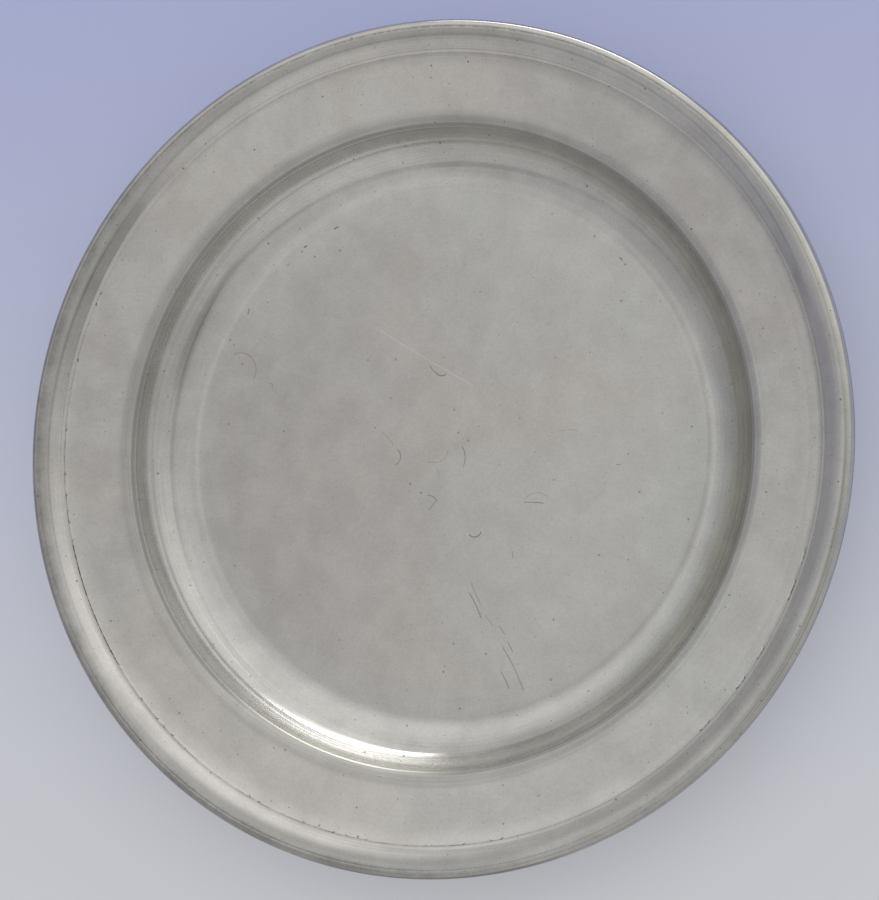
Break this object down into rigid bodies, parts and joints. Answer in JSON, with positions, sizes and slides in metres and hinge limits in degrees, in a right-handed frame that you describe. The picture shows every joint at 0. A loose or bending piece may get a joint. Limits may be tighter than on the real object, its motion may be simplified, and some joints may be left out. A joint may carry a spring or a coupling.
{
  "type": "plate",
  "caption": "Round pewter plate with a flat-floored well, a gently rising broad rim and a reeded border moulding soldered round the rim's face.",
  "frame": {"origin": "centre of the flat underside that the plate rests on", "axes": "+Z up out of the well, along the axis that the plate is turned about; +X to the right and +Y up in the picture"},
  "size_m": [0.203, 0.203, 0.0164],
  "materials": {
    "dish_pewter": "worn satin pewter",
    "border_pewter": "polished and worn satin pewter",
    "solder": "bright soft solder with dark grime at its edges"
  },
  "bodies": {
    "root": {"dish": "dish_pewter", "rim_border": "border_pewter", "inner_seam_solder": "solder", "outer_seam_solder": "solder", "joint_solder": "solder"}
  },
  "joints": []
}
